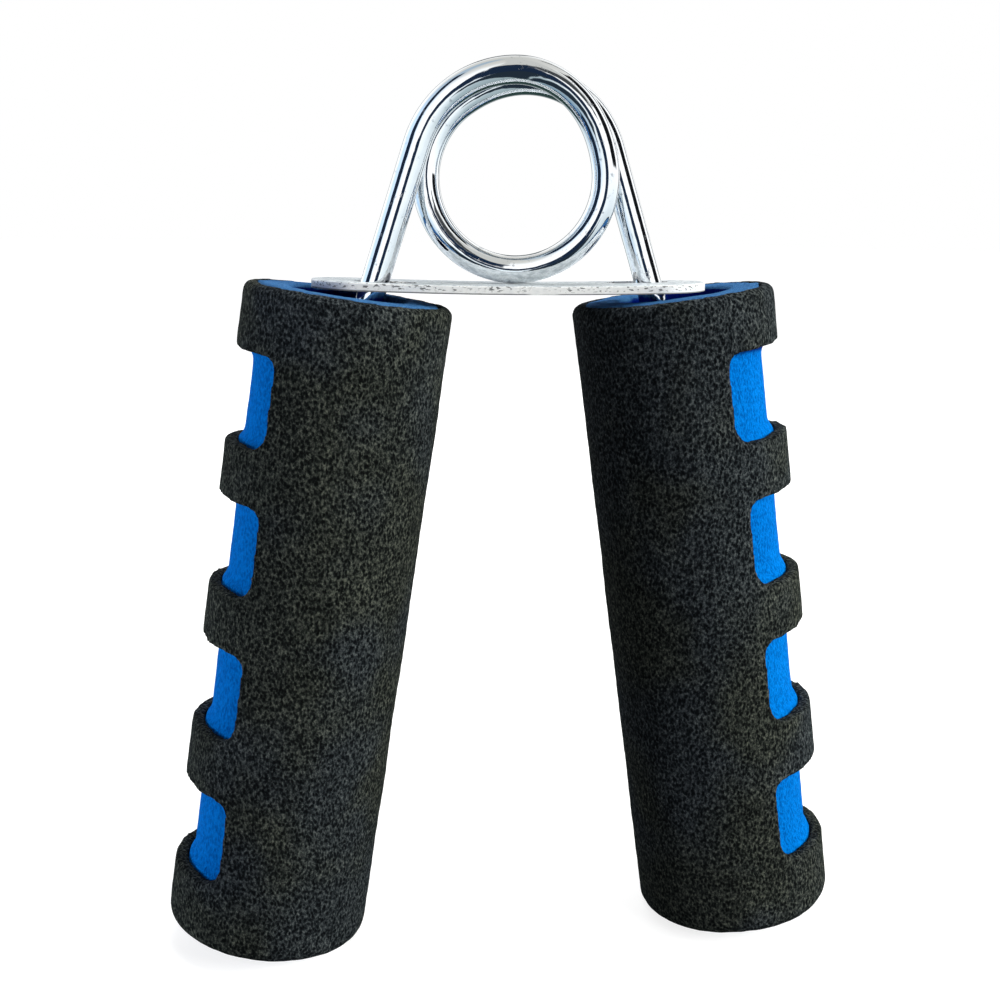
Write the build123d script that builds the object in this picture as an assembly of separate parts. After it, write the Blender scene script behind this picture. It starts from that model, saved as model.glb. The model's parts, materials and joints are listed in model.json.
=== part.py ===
from build123d import *
import math
import os

# Hand grip strengthener: a torsion spring of round wire with two straight legs, a stamped stop bar
# that the legs pass through, and a two-layer foam grip on a plastic core over each leg.
#
# Lengths are in millimetres and angles in degrees. +Z is up, +X is towards the right grip and -Y is
# the front. The origin is on the ground, midway between the grips, which stand on their lower ends.
# The left leg is the front one.

# Spring
WIRE_D = 3.5
COIL_R = 11.25            # centre line of the wire in the middle of the coil
LEG_OFFSET = 12.9         # from the coil's axis to each leg's centre line
LEG_SPLAY = 17.4          # lean of each leg from upright
TURN_GAP = 0.2            # free space between neighbouring turns
BENDS = 28                # short bends that make up the coil
SHRINK_FROM = 72.0        # the coil keeps the left leg's offset over this stretch of its turn
SHRINK_TO = 152.0         # and is down to COIL_R here
WIDEN_FROM = 395.0        # from here it widens
WIDEN_TO = 486.0          # up to the right leg's offset
BEND_FILL = 0.48          # part of the shorter run beside a bend that the bend takes up
KINK_R = 20.0             # gentle bend where a leg lines up with its grip
LEG_DEPTH = 56.0          # reach of a leg below its grip's upper end

# Stop bar
BAR_L = 50.0
BAR_W = 12.0
BAR_T = 1.1
BAR_RISE = 0.5            # the bar is bowed: its ends stand this much above its middle
BAR_SHIFT = -0.6          # the loose bar sits a little to the left
BAR_GAP = 0.05            # free space between the coil and the bar
BAR_EDGE = 0.2            # rolled upper edge
SLOT_W = 4.1
SLOT_PLAY = 0.35          # free space past a leg at each end of its travel

# Grips
GRIP_L = 85.0
GRIP_R = 13.05
GRIP_LEAN = 8.1           # lean of each grip from upright
GRIP_X = 20.7             # from the middle to the centre of a grip's upper end
GRIP_GAP = 0.15           # from the underside of the bar's middle down to that centre
SKIN_R = 11.4             # where the black foam meets the blue foam inside it
BORE_R = 7.3
CORE_R = 7.2
CORE_RECESS = 3.0         # the core starts this far below the foam's upper end
CORE_EDGE = 0.5
THROAT_R = 4.75           # mouth of the core's tapered throat
THROAT_END = 20.0         # the throat has narrowed to the wire hole here
WIRE_HOLE_R = 1.8
HOLE_PLAY = 1.0           # free depth below the leg's tip
TOP_EDGE = 1.2
BOTTOM_EDGE = 2.0

# Finger grooves
GROOVES = 4
GROOVE_W = 11.5
RIB_W = 7.3               # foam left between two grooves
GROOVE_R = 10.75          # floor of the grooves
GROOVE_HALF = 60.0        # reach of a groove to each side of its middle
GROOVE_CORNER = 1.7
GROOVE_LOW_CORNER = 2.8   # the lower corners are rounder
GROOVE_CLEAR = 2.0        # reach of the cutting sector past the foam's surface
GROOVE_FOOT = 1.4         # rounding between the floor of a groove and its walls

# The grooves aren't quite even: the rise and the turn of each one on its grip, from the top down
GROOVE_LIFT = {"left": (0.25, 0.6, 0.7, 0.25), "right": (1.15, 1.15, 1.2, 0.8)}
GROOVE_TURN = {"left": (-4.5, -2.0, -1.0, 0.0), "right": (-11.0, -6.5, -5.5, -7.0)}

# Each grip turns by half of this about the coil's axis when the tool is squeezed shut
SQUEEZE = 21.5

# Derived sizes
SIDE = {"left": -1, "right": 1}
COIL_TURN = 540 - 2 * LEG_SPLAY
BEND_STEP = COIL_TURN / BENDS
SPREAD = (WIRE_D + TURN_GAP) * (COIL_TURN - BEND_STEP) / 360
LEAN = math.radians(GRIP_LEAN)
EDGE_REACH = (GRIP_L - BOTTOM_EDGE) * math.cos(LEAN) + (GRIP_R - BOTTOM_EDGE) * math.sin(LEAN)
BAR_TOP_BELOW_COIL = COIL_R + WIRE_D / 2 + BAR_GAP
GRIP_TOP_BELOW_COIL = BAR_TOP_BELOW_COIL + BAR_T + GRIP_GAP
COIL_Z = GRIP_TOP_BELOW_COIL + EDGE_REACH + BOTTOM_EDGE
BAR_TOP_Z = COIL_Z - BAR_TOP_BELOW_COIL
GRIP_TOP_Z = COIL_Z - GRIP_TOP_BELOW_COIL


def smooth_step(value):
    """Ease from 0 to 1 as value runs from 0 to 1."""
    inside = min(max(value, 0.0), 1.0)
    return inside * inside * (3 - 2 * inside)


def coil_point(turned, outward=1.0):
    """A point on the coil's line, or beside it, after turning this far from the left leg."""
    shrink = smooth_step((turned - SHRINK_FROM) / (SHRINK_TO - SHRINK_FROM))
    widen = smooth_step((turned - WIDEN_FROM) / (WIDEN_TO - WIDEN_FROM))
    radius = COIL_R + (LEG_OFFSET - COIL_R) * (1 - shrink + widen)
    along = min(max((turned - BEND_STEP / 2) / (COIL_TURN - BEND_STEP), 0.0), 1.0)
    angle = math.radians(180 - LEG_SPLAY - turned)
    reach = radius * outward
    return Vector(reach * math.cos(angle), SPREAD * (along - 0.5), COIL_Z + reach * math.sin(angle))


def wire(path):
    """Round wire along a path."""
    section = Plane(origin=path @ 0, z_dir=path % 0) * Circle(WIRE_D / 2)
    return sweep(section, path=path)


def bend_radius(before, corner, after):
    """The radius whose bend takes up BEND_FILL of the shorter run beside the corner."""
    arriving = corner - before
    leaving = after - corner
    half_turn = math.radians(arriving.get_angle(leaving)) / 2
    return BEND_FILL * min(arriving.length, leaving.length) / math.tan(half_turn)


def spring_coil():
    outward = 1 / math.cos(math.radians(BEND_STEP / 2))
    corners = [coil_point(BEND_STEP * (index + 0.5), outward) for index in range(BENDS)]
    points = [coil_point(0)] + corners + [coil_point(COIL_TURN)]
    radii = [bend_radius(*points[index:index + 3]) for index in range(BENDS)]
    return wire(FilletPolyline(*points, radius=radii))


def grip_frame(side):
    """The grip's own frame: origin at its upper end, local +X outward and local +Z up its axis."""
    out = SIDE[side]
    return Plane(
        origin=(out * GRIP_X, out * SPREAD / 2, GRIP_TOP_Z),
        x_dir=(out * math.cos(LEAN), 0, math.sin(LEAN)),
        z_dir=(-out * math.sin(LEAN), 0, math.cos(LEAN)),
    )


def spring_leg(side):
    """From the end of the coil to where the leg meets its grip's axis, then down that axis."""
    start = coil_point(0 if side == "left" else COIL_TURN)
    top = grip_frame(side).origin
    splay = math.tan(math.radians(LEG_SPLAY))
    offset = abs(top.X) - abs(start.X) - (start.Z - top.Z) * splay
    drop = offset / (splay - math.tan(LEAN))
    kink = Vector(top.X + SIDE[side] * drop * math.tan(LEAN), top.Y, top.Z - drop)
    tip = grip_frame(side).from_local_coords(Vector(0, 0, -LEG_DEPTH))
    return wire(FilletPolyline(start, kink, tip, radius=KINK_R))


def leg_x_at_bar(turned_in):
    """A leg's distance from the middle at the stop bar, once the grip has turned in by this much."""
    splay = math.radians(LEG_SPLAY - turned_in)
    depth = BAR_TOP_BELOW_COIL + BAR_T / 2
    return LEG_OFFSET / math.cos(splay) + depth * math.tan(splay)


def stop_bar():
    """Stamped plate with rounded ends, bowed along its length, with a slot for each leg."""
    bow_r = BAR_L ** 2 / (8 * BAR_RISE)
    bow = Cylinder(bow_r + BAR_T, BAR_W) - Cylinder(bow_r, BAR_W)
    bow = Pos(0, 0, BAR_TOP_Z + bow_r) * Rot(90, 0, 0) * bow
    stamp = Pos(0, 0, BAR_TOP_Z - 2 * BAR_T) * extrude(SlotOverall(BAR_L, BAR_W), 4 * BAR_T)
    plate = Pos(BAR_SHIFT, 0, 0) * (bow & stamp)
    upper = plate.faces().sort_by(SortBy.AREA)[-2:].sort_by(Axis.Z)[-1]
    plate = fillet(upper.edges(), BAR_EDGE)
    splay = math.radians(LEG_SPLAY)
    wire_reach = WIRE_D / 2 / math.cos(splay) + BAR_T / 2 * math.tan(splay)
    outer = leg_x_at_bar(0) + wire_reach + SLOT_PLAY
    inner = leg_x_at_bar(SQUEEZE / 2) - wire_reach - SLOT_PLAY
    for out in SIDE.values():
        place = Pos(out * (outer + inner) / 2, out * SPREAD / 2, BAR_TOP_Z - 2 * BAR_T)
        plate -= place * extrude(SlotOverall(outer - inner, SLOT_W), 4 * BAR_T)
    return plate


def grip_core():
    """Plastic core: closed below, with a tapered throat that leads the leg into the wire hole."""
    length = GRIP_L - CORE_RECESS
    core = Pos(0, 0, -GRIP_L + length / 2) * Cylinder(CORE_R, length)
    core = chamfer(core.edges().group_by(Axis.Z)[-1], CORE_EDGE)
    throat = THROAT_END - CORE_RECESS
    core -= Pos(0, 0, -CORE_RECESS - throat / 2) * Cone(WIRE_HOLE_R, THROAT_R, throat)
    hole = LEG_DEPTH + HOLE_PLAY - THROAT_END
    core -= Pos(0, 0, -THROAT_END - hole / 2) * Cylinder(WIRE_HOLE_R, hole)
    return core


def groove_cutters(side):
    """The four finger grooves of one grip, as rounded sectors round the grip's axis."""
    depth = GRIP_R + GROOVE_CLEAR - GROOVE_R
    highest = (GROOVES - 1) * (GROOVE_W + RIB_W) / 2 - GRIP_L / 2
    cutters = []
    for index, (lift, turn) in enumerate(zip(GROOVE_LIFT[side], GROOVE_TURN[side])):
        middle = highest - index * (GROOVE_W + RIB_W) + lift
        section = Plane.XZ * Pos(GROOVE_R + depth / 2, middle) * Rectangle(depth, GROOVE_W)
        sector = revolve(section, Axis.Z, 2 * GROOVE_HALF)
        for level, radius in ((0, GROOVE_LOW_CORNER), (-1, GROOVE_CORNER)):
            radial = sector.edges().filter_by(GeomType.LINE).filter_by(Axis.Z, reverse=True)
            sector = fillet(radial.group_by(Axis.Z)[level], radius)
        floor = sector.faces().filter_by(GeomType.CYLINDER).sort_by(SortBy.AREA)[-2]
        sector = fillet(floor.edges(), GROOVE_FOOT)
        cutters.append(Rot(0, 0, turn - GROOVE_HALF) * sector)
    return cutters


def foam_sleeve(side, outer_r, inner_r, top_edge, bottom_edge):
    """One layer of a grip's foam, with the finger grooves cut through it or into it."""
    foam = Pos(0, 0, -GRIP_L / 2) * Cylinder(outer_r, GRIP_L)
    if bottom_edge:
        foam = fillet(foam.edges().group_by(Axis.Z)[0], bottom_edge)
        foam = fillet(foam.edges().group_by(Axis.Z)[-1], top_edge)
    foam -= Pos(0, 0, -GRIP_L / 2) * Cylinder(inner_r, GRIP_L)
    for cutter in groove_cutters(side):
        foam -= cutter
    return foam


def main():
    nodes = {"spring_coil": spring_coil(), "stop_bar": stop_bar()}
    for side in SIDE:
        place = grip_frame(side).location
        nodes[f"{side}_spring_leg"] = spring_leg(side)
        nodes[f"{side}_core"] = place * grip_core()
        nodes[f"{side}_blue_foam"] = place * foam_sleeve(side, SKIN_R, BORE_R, 0, 0)
        nodes[f"{side}_black_foam"] = place * foam_sleeve(side, GRIP_R, SKIN_R, TOP_EDGE, BOTTOM_EDGE)
    os.makedirs("parts", exist_ok=True)
    for name, solid in nodes.items():
        export_step(solid, f"parts/{name}.step")
        print(f"{name}: {solid.volume / 1000:.2f} cm3")
    print(f"coil axis {COIL_Z:.3f} mm up, legs {SPREAD:.3f} mm apart, grip tops {GRIP_TOP_Z:.3f} mm up")


main()
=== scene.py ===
import json
import math

import bmesh
import bpy
import numpy as np
from mathutils import Matrix, Vector, noise


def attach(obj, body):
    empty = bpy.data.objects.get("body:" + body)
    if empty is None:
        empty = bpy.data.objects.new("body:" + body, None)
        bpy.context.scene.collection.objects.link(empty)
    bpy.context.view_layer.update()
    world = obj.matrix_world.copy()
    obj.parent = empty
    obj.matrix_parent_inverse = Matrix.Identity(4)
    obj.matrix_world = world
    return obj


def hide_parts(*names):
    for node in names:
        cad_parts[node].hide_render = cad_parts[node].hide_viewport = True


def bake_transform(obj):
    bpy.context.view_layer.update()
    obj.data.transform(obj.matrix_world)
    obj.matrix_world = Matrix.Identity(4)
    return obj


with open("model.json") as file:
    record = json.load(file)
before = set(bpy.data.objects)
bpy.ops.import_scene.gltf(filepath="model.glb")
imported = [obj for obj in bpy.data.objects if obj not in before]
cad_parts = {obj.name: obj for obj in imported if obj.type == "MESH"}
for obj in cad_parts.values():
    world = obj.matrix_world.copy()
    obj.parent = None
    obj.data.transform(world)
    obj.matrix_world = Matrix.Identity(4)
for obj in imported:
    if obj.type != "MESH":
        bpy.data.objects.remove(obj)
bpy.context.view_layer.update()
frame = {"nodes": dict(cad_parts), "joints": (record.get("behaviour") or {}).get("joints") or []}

# Hand grip strengthener: bright spring wire, a stamped stop bar and two-layer foam grips.
# Lengths are in metres and angles in degrees. -Y is the front and +X is towards the right grip.
# The coil's axis runs along Y through COIL, and the left leg is the front one.

COIL = Vector(next(joint for joint in frame["joints"] if joint["name"] == "squeeze")["pos_m"])
SIDES = {"left": -1, "right": 1}

# Spring, as the CAD model has it
WIRE_R = 0.00175
COIL_R = 0.01125
LEG_OFFSET = 0.0129
LEG_SPLAY = 17.4
TURN_GAP = 0.0002
BENDS = 28
SHRINK_FROM = 72.0
SHRINK_TO = 152.0
WIDEN_FROM = 395.0
WIDEN_TO = 486.0
KINK_R = 0.020
LEG_DEPTH = 0.056
COIL_TURN = 540 - 2 * LEG_SPLAY
BEND_STEP = COIL_TURN / BENDS
SPREAD = (2 * WIRE_R + TURN_GAP) * (COIL_TURN - BEND_STEP) / 360

# Grips, as the CAD model has them
GRIP_X = 0.0207
GRIP_LEAN = 8.1
GRIP_TOP_BELOW_COIL = 0.0143

# Stop bar, as the CAD model has it
BAR_TOP_BELOW_COIL = 0.01305
BAR_BOW = 0.8             # rise of the bar at a distance x from its middle, over x squared

# Fineness of the wire's mesh, and the points that its centre line is drawn through
WIRE_SIDES = 40
WIRE_STEP = 0.00045
COIL_POINTS = 253
LEG_POINTS = 30
KINK_POINTS = 7
TIP_POINTS = 90

# Foam's surface
WELD_DISTANCE = 1e-6
FOAM_CELLS = 2300.0       # foam cells in a metre
FOAM_WOBBLE = 0.0004      # how far their outlines wander
FOAM_DRAW = 0.72          # below 1, the cells are longer along the grip than round it
GRAIN_TO_CELLS = 1.45     # how many times finer the grain is than the cells
UPPER_END = (0.0785, 0.0795)  # heights over which the blue skin gives way to the cut upper end

# Camera, placed from the coil's axis
CAMERA_FROM_COIL = Vector((-0.01256, -0.179929, -0.003961))
CAMERA_PITCH = -11.649
CAMERA_YAW = -3.533
CAMERA_ROLL = -0.705
CAMERA_LENS = 50.556
CAMERA_SENSOR = 36


# ---------------------------------------------------------------- small helpers

def smooth_step(value):
    """Ease from 0 to 1 as value runs from 0 to 1."""
    inside = np.clip(value, 0.0, 1.0)
    return inside * inside * (3 - 2 * inside)


def soft_ramp(value, ease):
    """0 below 0, then value less half the ease, with a smooth start over the ease."""
    inside = np.clip(value / ease, 0.0, 1.0)
    started = ease * (inside ** 3 - inside ** 4 / 2)
    return started + np.maximum(value - ease, 0.0)


def grip_matrix(side):
    """The grip's own frame: origin at its upper end, +X outward and +Z up its axis."""
    out = SIDES[side]
    lean = math.radians(GRIP_LEAN)
    outward = Vector((out * math.cos(lean), 0, math.sin(lean)))
    upward = Vector((-out * math.sin(lean), 0, math.cos(lean)))
    across = upward.cross(outward)
    origin = Vector((out * GRIP_X, out * SPREAD / 2, COIL.z - GRIP_TOP_BELOW_COIL))
    rotation = Matrix((outward, across, upward)).transposed().to_4x4()
    return Matrix.Translation(origin) @ rotation


def link_object(name, data):
    piece = bpy.data.objects.new(name, data)
    bpy.context.scene.collection.objects.link(piece)
    return piece


# ---------------------------------------------------------------- material helpers

class Nodes:
    """A node tree with short calls for adding and joining nodes."""

    def __init__(self, tree):
        self.tree = tree
        tree.nodes.clear()

    def add(self, kind, settings=None, **inputs):
        node = self.tree.nodes.new(kind)
        for key, value in (settings or {}).items():
            setattr(node, key, value)
        for key, value in inputs.items():
            self.feed(node.inputs[key.replace("_", " ")], value)
        return node

    def feed(self, socket, value):
        if isinstance(value, bpy.types.NodeSocket):
            self.tree.links.new(value, socket)
        else:
            socket.default_value = value

    def math(self, operation, *values):
        node = self.add("ShaderNodeMath", {"operation": operation})
        for index, value in enumerate(values):
            self.feed(node.inputs[index], value)
        return node.outputs[0]

    def ramp(self, factor, stops):
        node = self.add("ShaderNodeValToRGB", Fac=factor)
        elements = node.color_ramp.elements
        while len(elements) < len(stops):
            elements.new(0.5)
        for element, (place, colour) in zip(elements, stops):
            element.position = place
            element.color = (*colour, 1)
        return node.outputs["Color"]

    def mix(self, factor, first, second, blend="MIX"):
        node = self.add("ShaderNodeMix", {"data_type": "RGBA", "blend_type": blend}, Factor=factor)
        for socket, value in ((node.inputs[6], first), (node.inputs[7], second)):
            self.feed(socket, (*value, 1) if isinstance(value, tuple) else value)
        return node.outputs[2]

    def step(self, value, start, end):
        """Smoothly from 0 at start to 1 at end."""
        limits = {"From_Min": start, "From_Max": end}
        smooth = {"interpolation_type": "SMOOTHSTEP"}
        return self.add("ShaderNodeMapRange", smooth, Value=value, **limits).outputs["Result"]

    def multiply_add(self, vector, factor, addend):
        """The vector times a number, plus another vector."""
        node = self.add("ShaderNodeVectorMath", {"operation": "MULTIPLY_ADD"})
        for socket, value in zip(node.inputs, (vector, (factor, factor, factor), addend)):
            self.feed(socket, value)
        return node.outputs["Vector"]

    def coordinates(self, kind):
        return self.add("ShaderNodeTexCoord").outputs[kind]

    def scaled(self, vector, scale):
        return self.add("ShaderNodeMapping", Vector=vector, Scale=scale).outputs["Vector"]

    def parts(self, vector):
        return self.add("ShaderNodeSeparateXYZ", Vector=vector).outputs

    def facing_up(self):
        """The surface's upward lean: 1 facing straight up, -1 facing straight down."""
        return self.parts(self.add("ShaderNodeNewGeometry").outputs["Normal"])["Z"]

    def noise(self, vector, scale, detail=2.0, roughness=0.5):
        settings = {"Vector": vector, "Scale": scale, "Detail": detail, "Roughness": roughness}
        return self.add("ShaderNodeTexNoise", **settings).outputs["Fac"]


def new_material(name):
    material = bpy.data.materials.new(name)
    material.use_nodes = True
    nodes = Nodes(material.node_tree)
    shader = nodes.add("ShaderNodeBsdfPrincipled")
    output = nodes.add("ShaderNodeOutputMaterial")
    nodes.tree.links.new(shader.outputs["BSDF"], output.inputs["Surface"])
    return material, nodes, shader


def bump(nodes, shader, height, distance, strength=1.0, base=None):
    node = nodes.add("ShaderNodeBump", Height=height, Distance=distance, Strength=strength)
    if base is not None:
        nodes.feed(node.inputs["Normal"], base)
    nodes.feed(shader.inputs["Normal"], node.outputs["Normal"])
    return node.outputs["Normal"]


# ---------------------------------------------------------------- materials

def chrome_material():
    """Bright plate over drawn wire: faint waves, fine lines along the wire and a few scuffs."""
    material, nodes, shader = new_material("bright_chrome")
    place = nodes.coordinates("UV")
    shader.inputs["Metallic"].default_value = 1.0
    waves = nodes.noise(place, scale=260.0)
    lines = nodes.noise(nodes.scaled(place, (0.12, 1.0, 1.0)), scale=5200.0, detail=3.0)
    scuffs = nodes.step(nodes.noise(place, scale=700.0, detail=4.0, roughness=0.72), 0.58, 0.70)
    cloud = nodes.noise(place, scale=180.0, detail=3.0)
    tint = nodes.mix(cloud, (0.76, 0.80, 0.84), (0.88, 0.89, 0.90))
    nodes.feed(shader.inputs["Base Color"], nodes.mix(scuffs, tint, (0.50, 0.53, 0.57)))
    nodes.feed(shader.inputs["Roughness"], nodes.math("MULTIPLY_ADD", scuffs, 0.30, 0.050))
    wavy = bump(nodes, shader, waves, distance=0.00010, strength=0.6)
    bump(nodes, shader, lines, distance=0.000004, strength=0.5, base=wavy)
    return material


# Levels on the bar's sheared edge, from its upper face: the tears stop over the first pair, and the
# dark lower lip, painted shade along the edge under the bar that also stands for a rough fracture lip,
# sets in over the second
TEARS_STOP = (-0.00085, -0.0006)
SHADED_LOWER_LIP = (-0.00088, -0.00102)


def plate_material():
    """Dull-plated sheet steel: pale and finely pitted, with short grey tears along its sheared edge.
    The paler edge is partly painted light, the darker flat faces are partly painted shade, and a dark
    line along the edge's lower lip is painted shade.
    """
    material, nodes, shader = new_material("plated_steel")
    place = nodes.coordinates("Object")
    shader.inputs["Metallic"].default_value = 0.15
    mottle = nodes.noise(place, scale=900.0, detail=4.0, roughness=0.65)
    tears = nodes.step(nodes.noise(nodes.scaled(place, (0.45, 1.0, 1.3)), scale=3300.0), 0.55, 0.62)
    patches = nodes.step(nodes.noise(place, scale=130.0), 0.28, 0.46)
    sheared = nodes.step(nodes.math("ABSOLUTE", nodes.facing_up()), 0.75, 0.35)
    parts = nodes.parts(place)
    bow = nodes.math("MULTIPLY", nodes.math("MULTIPLY", parts["X"], parts["X"]), BAR_BOW)
    straightened = nodes.math("SUBTRACT", parts["Z"], bow)
    level = nodes.math("SUBTRACT", straightened, COIL.z - BAR_TOP_BELOW_COIL)
    band = nodes.math("MULTIPLY", nodes.step(level, *TEARS_STOP), sheared)
    tears_and_lip_shade = nodes.math("MULTIPLY", nodes.math("MULTIPLY", tears, patches), band)
    # painted shade: a dark line along the lower lip of the sheared edge, also standing for a rough
    # fracture lip
    lip = nodes.math("MULTIPLY", nodes.step(level, *SHADED_LOWER_LIP), nodes.step(patches, 0.0, 0.7))
    tears_and_lip_shade = nodes.math("MAXIMUM", tears_and_lip_shade, nodes.math("MULTIPLY", lip, sheared))
    # painted light and shade: the sheared edge is paler partly as painted light, and the flat faces are
    # darker partly as painted shade
    edge_tone_and_light = nodes.mix(nodes.step(mottle, 0.35, 0.7), (0.97, 0.97, 0.97), (0.88, 0.89, 0.90))
    flat_tone_and_shade = nodes.mix(nodes.step(mottle, 0.40, 0.62), (0.75, 0.79, 0.82), (0.47, 0.52, 0.56))
    tone = nodes.mix(sheared, flat_tone_and_shade, edge_tone_and_light)
    nodes.feed(shader.inputs["Base Color"], nodes.mix(tears_and_lip_shade, tone, (0.19, 0.195, 0.20)))
    nodes.feed(shader.inputs["Roughness"], nodes.math("MULTIPLY_ADD", mottle, 0.25, 0.18))
    pitted = bump(nodes, shader, mottle, distance=0.00005, strength=0.5)
    bump(nodes, shader, tears_and_lip_shade, distance=0.00006, strength=-0.6, base=pitted)
    return material


def core_material():
    """Dark blue moulded plastic with a fine spark-eroded surface."""
    material, nodes, shader = new_material("moulded_core")
    place = nodes.coordinates("Object")
    grain = nodes.noise(place, scale=2400.0, detail=3.0, roughness=0.6)
    cloud = nodes.noise(place, scale=160.0, detail=3.0)
    tone = nodes.mix(cloud, (0.003, 0.005, 0.030), (0.006, 0.010, 0.055))
    nodes.feed(shader.inputs["Base Color"], tone)
    nodes.feed(shader.inputs["Roughness"], nodes.math("MULTIPLY_ADD", grain, 0.25, 0.38))
    bump(nodes, shader, grain, distance=0.00004, strength=0.5)
    return material


def foam_material(name, stops, tints, cut_end_sheen=None, bore_shade=None):
    """Closed-cell foam: a leathery skin of small dark pits between paler cell walls; the pits' darkness
    is partly painted shade and the walls' paleness partly painted glints.

    Tints are two faint colour casts that drift over the skin. On the foam's upper end, which is cut and
    not skinned, cut_end_sheen holds two tones, paler partly as painted sheen, and bore is painted shade
    on the hole's wall.
    """
    material, nodes, shader = new_material(name)
    place = nodes.coordinates("Object")
    drawn = nodes.scaled(place, (1.0, 1.0, FOAM_DRAW))
    wobble = nodes.add("ShaderNodeTexNoise", Vector=drawn, Scale=1100.0, Detail=1.0).outputs["Color"]
    bent = nodes.multiply_add(wobble, FOAM_WOBBLE, drawn)
    cells = nodes.add("ShaderNodeTexVoronoi", Vector=bent, Scale=FOAM_CELLS).outputs["Distance"]
    walls = nodes.step(cells, 0.05, 0.70)
    grain = nodes.noise(drawn, scale=FOAM_CELLS * GRAIN_TO_CELLS, detail=3.0, roughness=0.72)
    cloud = nodes.noise(place, scale=150.0, detail=3.0)
    height = nodes.math("MULTIPLY_ADD", walls, 0.22, nodes.math("MULTIPLY", grain, 0.78))
    spread = nodes.step(height, 0.34, 0.80)
    shaded = nodes.math("MULTIPLY_ADD", cloud, 0.24, nodes.math("SUBTRACT", spread, 0.12))
    cast = nodes.mix(nodes.step(nodes.noise(place, scale=55.0), 0.40, 0.60), *tints)
    # painted shade and glints: the ramp over the bump's height darkens the pits as shade and lightens
    # the cell walls as glints, on top of the foam's own grain
    colour = nodes.mix(1.0, nodes.ramp(shaded, stops), cast, "MULTIPLY")
    if cut_end_sheen:
        # painted sheen on the upper end's cut face, and painted shade on the wall of its hole
        ends = nodes.mix(nodes.step(nodes.facing_up(), 0.15, 0.50), bore_shade, nodes.mix(spread, *cut_end_sheen))
        colour = nodes.mix(nodes.step(nodes.parts(place)["Z"], *UPPER_END), colour, ends)
    nodes.feed(shader.inputs["Base Color"], colour)
    shader.inputs["Roughness"].default_value = 0.85
    shader.inputs["Specular IOR Level"].default_value = 0.03
    bump(nodes, shader, height, distance=0.0004)
    return material


# ---------------------------------------------------------------- spring

def coil_line(turned):
    """Points on the coil's centre line after turning this far from the left leg."""
    shrink = smooth_step((turned - SHRINK_FROM) / (SHRINK_TO - SHRINK_FROM))
    widen = smooth_step((turned - WIDEN_FROM) / (WIDEN_TO - WIDEN_FROM))
    radius = COIL_R + (LEG_OFFSET - COIL_R) * (1 - shrink + widen)
    travel = COIL_TURN - BEND_STEP
    left = soft_ramp(turned, BEND_STEP)
    right = soft_ramp(COIL_TURN - turned, BEND_STEP)
    along = np.where(turned < COIL_TURN / 2, left, travel - right) / travel
    angle = np.radians(180 - LEG_SPLAY - turned)
    points = (radius * np.cos(angle), SPREAD * (along - 0.5), COIL.z + radius * np.sin(angle))
    return np.stack(points, axis=1)


def leg_line(side, coil_end):
    """Points down a leg, from the end of the coil, through its gentle kink, to its tip."""
    out = SIDES[side]
    place = grip_matrix(side)
    top = place.translation
    splay = math.tan(math.radians(LEG_SPLAY))
    lean = math.tan(math.radians(GRIP_LEAN))
    drop = (abs(top.x) - abs(coil_end.x) - (coil_end.z - top.z) * splay) / (splay - lean)
    kink = Vector((top.x + out * drop * lean, top.y, top.z - drop))
    tip = place @ Vector((0, 0, -LEG_DEPTH))
    half_turn = math.radians(LEG_SPLAY - GRIP_LEAN) / 2
    reach = KINK_R * math.tan(half_turn)
    before = kink + (coil_end - kink).normalized() * reach
    after = kink + (tip - kink).normalized() * reach
    bend = [before.lerp(kink, t).lerp(kink.lerp(after, t), t) for t in np.linspace(0, 1, KINK_POINTS)]
    upper = [coil_end.lerp(before, t) for t in np.linspace(0, 1, LEG_POINTS)[1:-1]]
    lower = [after.lerp(tip, t) for t in np.linspace(0, 1, TIP_POINTS)[1:]]
    return np.array(upper + bend + lower)


def wire_path():
    """The whole wire's centre line, from the left leg's tip to the right leg's."""
    coil = coil_line(np.linspace(0.0, COIL_TURN, COIL_POINTS))
    left = leg_line("left", Vector(coil[0]))
    right = leg_line("right", Vector(coil[-1]))
    return np.concatenate([left[::-1], coil, right])


def evenly_spaced(path, step):
    runs = np.linalg.norm(np.diff(path, axis=0), axis=1)
    reach = np.concatenate([[0.0], np.cumsum(runs)])
    wanted = np.linspace(0, reach[-1], round(reach[-1] / step))
    return np.stack([np.interp(wanted, reach, path[:, axis]) for axis in range(3)], axis=1)


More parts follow.
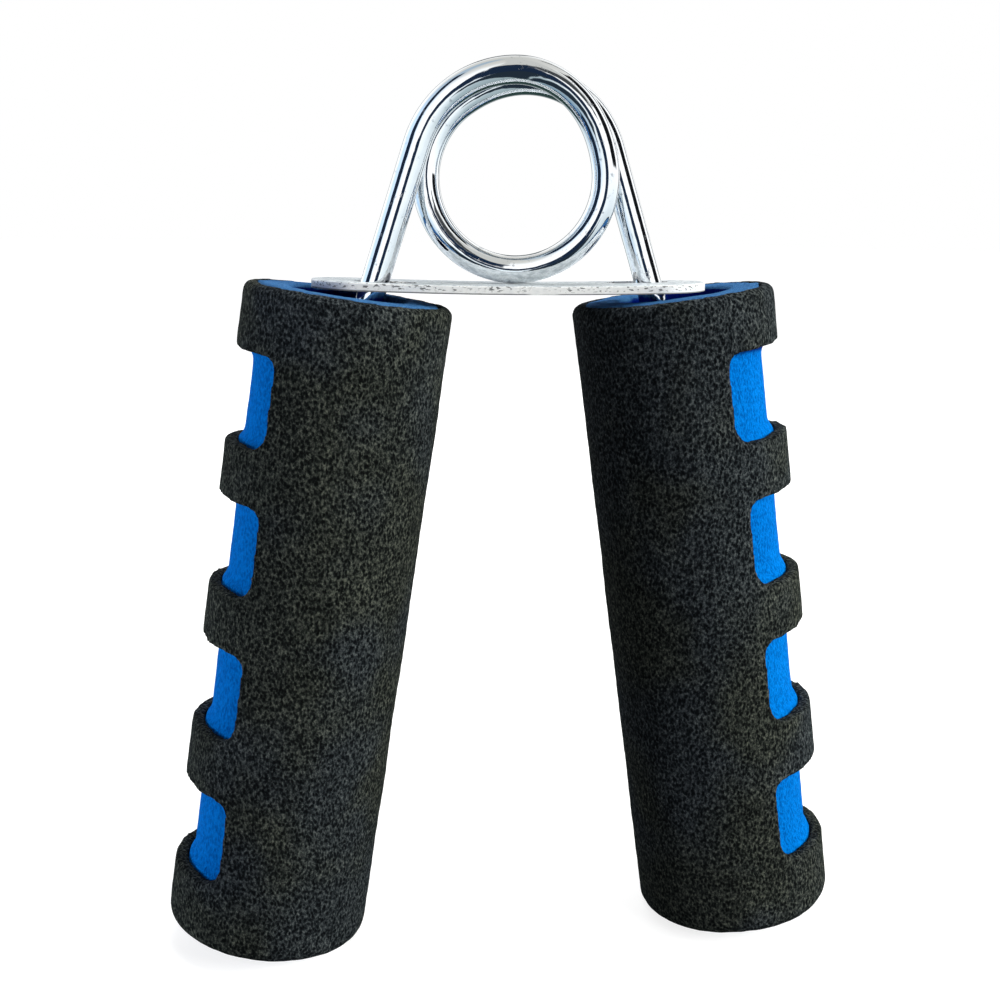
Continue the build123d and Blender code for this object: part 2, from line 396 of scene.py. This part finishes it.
def tube_mesh(name, path, radius, sides):
    """A round tube with closed ends, and UVs in metres: along the tube and round it."""
    ahead = np.gradient(path, axis=0)
    ahead /= np.linalg.norm(ahead, axis=1)[:, None]
    across = np.array((0.0, 1.0, 0.0))
    rings = []
    for point, direction in zip(path, ahead):
        across = across - direction * across.dot(direction)
        across /= np.linalg.norm(across)
        up = np.cross(direction, across)
        turn = np.linspace(0, 2 * math.pi, sides, endpoint=False)[:, None]
        rings.append(point + radius * (np.cos(turn) * across + np.sin(turn) * up))
    count = len(path)
    faces = []
    for ring in range(count - 1):
        for side in range(sides):
            following = (side + 1) % sides
            near, far = ring * sides, (ring + 1) * sides
            faces.append((near + side, near + following, far + following, far + side))
    faces.append(tuple(range(sides))[::-1])
    faces.append(tuple(range((count - 1) * sides, count * sides)))
    mesh = bpy.data.meshes.new(name)
    mesh.from_pydata(np.concatenate(rings).tolist(), [], faces)
    mesh.shade_smooth()
    layer = mesh.uv_layers.new(name="length_and_girth")
    step = np.linalg.norm(path[1] - path[0])
    girth = 2 * math.pi * radius / sides
    for polygon in list(mesh.polygons)[:(count - 1) * sides]:
        ring, side = divmod(polygon.index, sides)
        corners = ((ring, side), (ring, side + 1), (ring + 1, side + 1), (ring + 1, side))
        for loop, (along, round_) in zip(polygon.loop_indices, corners):
            layer.data[loop].uv = (along * step, round_ * girth)
    return mesh


def make_spring():
    path = evenly_spaced(wire_path(), WIRE_STEP)
    spring = link_object("spring", tube_mesh("spring", path, WIRE_R, WIRE_SIDES))
    spring.data.materials.append(chrome_material())
    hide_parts("spring_coil", "left_spring_leg", "right_spring_leg")
    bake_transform(spring)


# ---------------------------------------------------------------- foam grips

def remeshed_copy(name, node, voxel, smoothing):
    """A fine, even mesh of a CAD solid, with its corners softened as foam's are."""
    mesh = frame["nodes"][node].data.copy()
    cleaned = bmesh.new()
    cleaned.from_mesh(mesh)
    bmesh.ops.remove_doubles(cleaned, verts=cleaned.verts, dist=WELD_DISTANCE)
    cleaned.to_mesh(mesh)
    cleaned.free()
    mesh.materials.clear()
    rough = link_object(name + "_rough", mesh)
    remesh = rough.modifiers.new("remesh", "REMESH")
    remesh.mode = "VOXEL"
    remesh.voxel_size = voxel
    smooth = rough.modifiers.new("smooth", "SMOOTH")
    smooth.factor = 0.5
    smooth.iterations = smoothing
    bpy.context.view_layer.update()
    finished = rough.evaluated_get(bpy.context.evaluated_depsgraph_get())
    shape = bpy.data.meshes.new_from_object(finished)
    bpy.data.objects.remove(rough)
    bpy.data.meshes.remove(mesh)
    shape.name = name
    shape.shade_smooth()
    return link_object(name, shape)


def roughen(piece, relief, seed):
    """Moves each vertex along its normal by noise: relief holds (wavelength, height) pairs."""
    shift = Vector((seed, seed / 3, -seed / 2))
    normals = [vertex.normal.copy() for vertex in piece.data.vertices]
    for vertex, normal in zip(piece.data.vertices, normals):
        height = sum(noise.noise(vertex.co / length + shift) * size for length, size in relief)
        vertex.co += normal * height
    piece.data.update()


# Tones from the pits (0) to the cell walls (1): the dark end is partly painted shade and the pale end
# partly painted glints
BLACK_STOPS = (
    (0.00, (0.0026, 0.0033, 0.0036)),
    (0.30, (0.0085, 0.0105, 0.0112)),
    (0.58, (0.026, 0.030, 0.030)),
    (0.84, (0.063, 0.070, 0.066)),
    (1.00, (0.125, 0.136, 0.122)),
)
BLACK_TINTS = ((0.95, 0.99, 1.12), (1.03, 1.02, 0.90))
# Likewise for the blue skin: the pits are partly painted shade and the cell walls partly painted glints
BLUE_STOPS = (
    (0.00, (0.000, 0.098, 0.41)),
    (0.50, (0.000, 0.148, 0.56)),
    (1.00, (0.001, 0.194, 0.69)),
)
BLUE_TINTS = ((1.0, 0.97, 0.98), (1.0, 1.04, 1.02))
# Painted sheen on the foam's cut upper end, partly its own paler tone, and painted shade on the wall of
# the hole in it
CUT_END_SHEEN = ((0.030, 0.110, 0.27), (0.052, 0.160, 0.36))
BORE_SHADE = (0.000, 0.008, 0.14)

# Of each layer: voxel size, rounds of smoothing, relief and seed
LAYERS = {
    "black": (0.0004, 3, ((0.0013, 0.00005), (0.009, 0.00010)), 3.7),
    "blue": (0.00045, 6, ((0.0016, 0.00004), (0.009, 0.00008)), 8.1),
}


def make_grips():
    materials = {
        "black": foam_material("black_foam", BLACK_STOPS, BLACK_TINTS),
        "blue": foam_material("blue_foam", BLUE_STOPS, BLUE_TINTS, CUT_END_SHEEN, BORE_SHADE),
    }
    for index, side in enumerate(SIDES):
        for colour, (voxel, smoothing, relief, seed) in LAYERS.items():
            node = f"{side}_{colour}_foam"
            piece = remeshed_copy(f"{side}_{colour}_sleeve", node, voxel, smoothing)
            roughen(piece, relief, seed + index)
            piece.data.materials.append(materials[colour])
            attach(piece, f"{side}_grip")
            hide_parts(node)


# ---------------------------------------------------------------- carried-over parts

def dress_frame():
    plate = plate_material()
    core = core_material()
    for node, material in (("stop_bar", plate), ("left_core", core), ("right_core", core)):
        mesh = frame["nodes"][node].data
        mesh.materials.clear()
        mesh.materials.append(material)


# ---------------------------------------------------------------- camera, lights, floor and studio

def make_camera():
    camera = link_object("camera", bpy.data.cameras.new("camera"))
    camera.data.sensor_width = CAMERA_SENSOR
    camera.data.lens = CAMERA_LENS
    camera.data.clip_start = 0.01
    camera.data.clip_end = 20
    turn = Matrix.Rotation(math.radians(CAMERA_YAW), 4, "Z")
    turn = turn @ Matrix.Rotation(math.radians(90 + CAMERA_PITCH), 4, "X")
    turn = turn @ Matrix.Rotation(math.radians(-CAMERA_ROLL), 4, "Z")
    camera.matrix_world = Matrix.Translation(COIL + CAMERA_FROM_COIL) @ turn
    bpy.context.scene.camera = camera


# Name, place, size, power and colour of each light
LIGHTS = (
    ("key", (0.66, -0.16, 0.30), (0.30, 0.30), 5.7, (1.0, 1.0, 0.88)),
    ("front", (0.50, -0.46, 0.36), (0.30, 0.25), 3.0, (1.0, 1.0, 1.0)),
    ("left", (-0.60, -0.06, 0.07), (0.14, 0.14), 2.3, (0.88, 0.93, 1.05)),
    ("top", (0.05, 0.10, 0.65), (0.40, 0.30), 3.0, (1.0, 1.0, 1.0)),
    ("back", (-0.10, 0.60, 0.30), (0.40, 0.30), 2.0, (1.0, 1.0, 1.0)),
)
LIGHT_TARGET = Vector((0, 0, 0.06))


def make_lights():
    """Lights for the dull surfaces only: the chrome shows the studio of the world instead."""
    for name, place, size, power, colour in LIGHTS:
        data = bpy.data.lights.new(name, "AREA")
        data.shape = "RECTANGLE"
        data.size, data.size_y = size
        data.energy = power
        data.color = colour
        light = link_object(name, data)
        light.location = place
        light.rotation_euler = (LIGHT_TARGET - Vector(place)).to_track_quat("-Z", "Y").to_euler()
        light.visible_camera = False
        light.visible_glossy = False


FLOOR_R = 4.0
FLOOR_SIDES = 96
FLOOR_FADE = (0.10, 0.35)         # distances over which the floor's glow fades up to white


def make_floor():
    """A white floor for the camera, with a faint shadow, that lights the grips only a little."""
    mesh = bpy.data.meshes.new("floor")
    shape = bmesh.new()
    bmesh.ops.create_circle(shape, cap_ends=True, radius=FLOOR_R, segments=FLOOR_SIDES)
    shape.to_mesh(mesh)
    shape.free()
    floor = link_object("floor", mesh)
    material, nodes, shader = new_material("pale_floor")
    place = nodes.coordinates("Object")
    seen = nodes.add("ShaderNodeLightPath").outputs["Is Camera Ray"]
    pale = nodes.mix(nodes.noise(place, scale=3.0), (0.34, 0.34, 0.34), (0.36, 0.36, 0.36))
    away = nodes.add("ShaderNodeVectorMath", {"operation": "LENGTH"}, Vector=place).outputs["Value"]
    glow = nodes.mix(nodes.step(away, *FLOOR_FADE), (0.82, 0.82, 0.82), (1.0, 1.0, 1.0))
    nodes.feed(shader.inputs["Base Color"], nodes.mix(seen, (0.30, 0.31, 0.32), pale))
    nodes.feed(shader.inputs["Emission Color"], nodes.mix(seen, (0.0, 0.0, 0.0), glow))
    shader.inputs["Emission Strength"].default_value = 1.0
    shader.inputs["Roughness"].default_value = 0.9
    shader.inputs["Specular IOR Level"].default_value = 0.0
    floor.data.materials.append(material)
    floor.visible_glossy = False


# Dark and tinted cards round the studio, seen only in the chrome:
# azimuth from the front (right is plus), half width, lowest and highest elevation, colour
CARDS = (
    (25, 22, 24, 90, (0.66, 0.66, 0.63)),
    (28, 11, 14, 34, (0.060, 0.065, 0.070)),
    (8, 6, -47, 34, (0.012, 0.025, 0.055)),
    (3, 9, -7, 4, (0.012, 0.025, 0.055)),
    (14.5, 12, -88, -16, (0.018, 0.030, 0.045)),
    (-18.5, 12, -88, -16, (0.018, 0.030, 0.045)),
    (-62, 14, -35, 62, (0.012, 0.022, 0.045)),
    (76, 18, 5, 52, (0.008, 0.009, 0.011)),
    (128, 4, -50, 65, (0.06, 0.07, 0.08)),
    (180, 70, -80, -30, (0.03, 0.06, 0.055)),
    (180, 10, 5, 40, (0.10, 0.11, 0.12)),
)
CARD_EDGE = 3.0

# Colours of the studio's wall from straight below (0) to straight above (1)
WALL = (
    (0.00, (0.24, 0.31, 0.32)),
    (0.30, (0.46, 0.57, 0.61)),
    (0.44, (1.05, 1.14, 1.18)),
    (0.52, (1.35, 1.35, 1.34)),
    (0.68, (1.30, 1.31, 1.31)),
    (0.82, (0.80, 0.79, 0.75)),
    (1.00, (0.62, 0.62, 0.58)),
)
COOL = (0.62, 0.78, 0.98)         # cast on the wall at the left
COOL_STARTS = (-20.0, -60.0)      # azimuths over which the cast sets in
COOL_ENDS = (-125.0, -105.0)      # and over which it is gone again
BEHIND = (0.24, 0.26, 0.26)       # straight behind, seen along the wire's outlines
AMBIENT = (0.075, 0.08, 0.085)    # even light from all round on the dull surfaces
WARP = 0.12                       # unevenness of the wall and the cards' edges
WARP_SCALE = 3.0


def make_world():
    """White to the camera, dim to dull surfaces and a studio with cards to the chrome."""
    world = bpy.data.worlds.new("studio")
    bpy.context.scene.world = world
    world.use_nodes = True
    nodes = Nodes(world.node_tree)
    direction = nodes.coordinates("Generated")
    wobble = nodes.add("ShaderNodeTexNoise", Vector=direction, Scale=WARP_SCALE).outputs["Color"]
    centred = nodes.multiply_add(wobble, 1.0, (-0.5, -0.5, -0.5))
    parts = nodes.parts(nodes.multiply_add(centred, WARP, direction))
    degrees = 180 / math.pi
    backward = nodes.math("MULTIPLY", parts["Y"], -1.0)
    azimuth = nodes.math("MULTIPLY", nodes.math("ARCTAN2", parts["X"], backward), degrees)
    lift = nodes.math("MULTIPLY", nodes.math("ARCSINE", parts["Z"]), degrees)
    wall = nodes.ramp(nodes.math("MULTIPLY_ADD", lift, 1 / 180, 0.5), WALL)
    cool = nodes.math("MULTIPLY", nodes.step(azimuth, *COOL_STARTS), nodes.step(azimuth, *COOL_ENDS))
    colour = nodes.mix(cool, wall, COOL, "MULTIPLY")
    for centre, half, low, high, dark in CARDS:
        turn = nodes.math("WRAP", nodes.math("SUBTRACT", azimuth, centre), 180.0, -180.0)
        inside = nodes.step(nodes.math("ABSOLUTE", turn), half + CARD_EDGE, half)
        inside = nodes.math("MULTIPLY", inside, nodes.step(lift, low - CARD_EDGE, low))
        inside = nodes.math("MULTIPLY", inside, nodes.step(lift, high + CARD_EDGE, high))
        colour = nodes.mix(inside, colour, dark)
    behind = nodes.math("MULTIPLY", nodes.step(parts["Y"], 0.75, 0.97), 0.8)
    colour = nodes.mix(behind, colour, BEHIND)
    path = nodes.add("ShaderNodeLightPath").outputs
    colour = nodes.mix(path["Is Diffuse Ray"], colour, AMBIENT)
    studio = nodes.add("ShaderNodeBackground", Color=colour, Strength=1.0)
    plain = nodes.add("ShaderNodeBackground", Color=(1, 1, 1, 1), Strength=1.0)
    both = nodes.add("ShaderNodeMixShader", Fac=path["Is Camera Ray"])
    nodes.tree.links.new(studio.outputs[0], both.inputs[1])
    nodes.tree.links.new(plain.outputs[0], both.inputs[2])
    output = nodes.add("ShaderNodeOutputWorld")
    nodes.tree.links.new(both.outputs[0], output.inputs["Surface"])


bpy.context.scene.view_settings.view_transform = "Standard"
make_camera()
make_world()
make_floor()
make_lights()
make_spring()
make_grips()
dress_frame()
